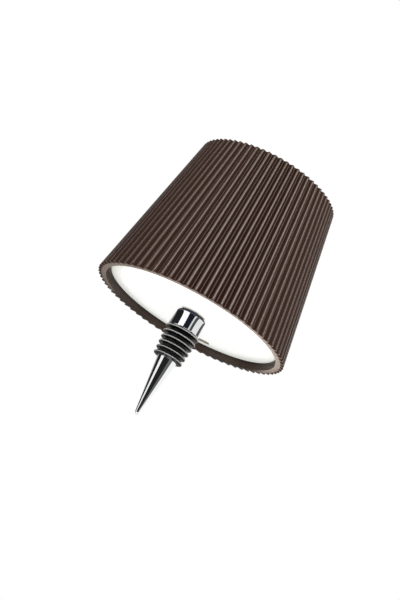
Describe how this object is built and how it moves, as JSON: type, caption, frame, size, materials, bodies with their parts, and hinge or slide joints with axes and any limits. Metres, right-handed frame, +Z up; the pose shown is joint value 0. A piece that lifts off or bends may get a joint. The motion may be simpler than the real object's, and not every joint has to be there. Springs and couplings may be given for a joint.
{
  "type": "bottle table lamp",
  "caption": "Cordless lamp that plugs into a bottle's neck: ribbed tapered shade, opal diffuser below, push button on top, and a head that screws onto a finned stopper with a spike.",
  "frame": {"origin": "on the lamp's axis, in the plane of the bottle's mouth, at the underside of the stopper's top fin", "axes": "+Z up along the lamp's axis, +Y towards the charging port, +X to the right seen from -Y"},
  "size_m": [0.11, 0.11, 0.1446],
  "materials": {
    "shade_brown": "satin",
    "opal": "satin",
    "chrome": "polished",
    "black_silicone": "satin",
    "white_silicone": "matte",
    "steel": "satin",
    "brass": "satin",
    "nylon": "matte",
    "grey_rubber": "matte",
    "black_plastic": "matte",
    "white_plastic": "matte",
    "green_board": "satin",
    "white_board": "satin",
    "bare_aluminium": "satin",
    "led": "satin",
    "battery_wrap": "gloss",
    "red_lead": "satin",
    "black_lead": "satin"
  },
  "bodies": {
    "stopper": {"stopper_collar": "chrome", "stopper_sleeve": "black_silicone", "stopper_spike": "chrome", "threaded_stud": "steel"},
    "washer": {"thread_washer": "nylon"},
    "head": {"shade": "shade_brown", "top_cover": "shade_brown", "top_gasket": "grey_rubber", "top_screw_1": "steel", "top_screw_2": "steel", "top_screw_3": "steel", "tact_switch": "black_plastic", "switch_board": "green_board", "switch_screw_1": "steel", "switch_screw_2": "steel", "chassis": "bare_aluminium", "chassis_screw_1": "steel", "chassis_screw_2": "steel", "chassis_screw_3": "steel", "stopper_socket": "brass", "socket_nut": "brass", "led_board": "white_board", "led_1": "led", "led_2": "led", "led_3": "led", "led_4": "led", "led_5": "led", "led_6": "led", "led_7": "led", "led_8": "led", "led_screw_1": "steel", "led_screw_2": "steel", "led_screw_3": "steel", "reflector": "white_plastic", "diffuser": "opal", "charge_board": "green_board", "charge_screw_1": "steel", "charge_screw_2": "steel", "usb_port": "steel", "battery_cradle": "black_plastic", "battery_cell": "battery_wrap", "battery_strap": "grey_rubber", "cradle_screw_1": "steel", "cradle_screw_2": "steel", "main_board": "green_board", "board_screw_1": "steel", "board_screw_2": "steel", "driver_chip": "black_plastic", "inductor": "black_plastic", "battery_header": "white_plastic", "switch_header": "white_plastic", "led_lead": "red_lead", "charge_lead": "black_lead", "battery_lead": "red_lead", "switch_lead": "black_lead"},
    "button": {"power_button": "shade_brown", "switch_plunger": "black_plastic"},
    "port_flap": {"port_cover": "white_silicone"}
  },
  "joints": [
    {"name": "head_rise", "type": "slide", "parent": "stopper", "child": "washer", "axis": [0, 0, 1], "range_m": [0, 0.00626]},
    {"name": "head_turn", "type": "hinge", "parent": "washer", "child": "head", "pos_m": [0, 0, 0.013], "axis": [0, 0, 1], "range_deg": [0, 1800]},
    {"name": "button_press", "type": "slide", "parent": "head", "child": "button", "axis": [0, 0, -1], "range_m": [0, 0.001], "stiffness_N_per_m": 400, "springref_m": -0.0015},
    {"name": "port_flap_open", "type": "hinge", "parent": "head", "child": "port_flap", "pos_m": [0, 0.04408, 0.0126], "axis": [1, 0, 0], "range_deg": [0, 100]}
  ],
  "couplings": [
    {"joint": "head_rise", "follows": "head_turn", "m_per_rad": 0.00019894}
  ]
}
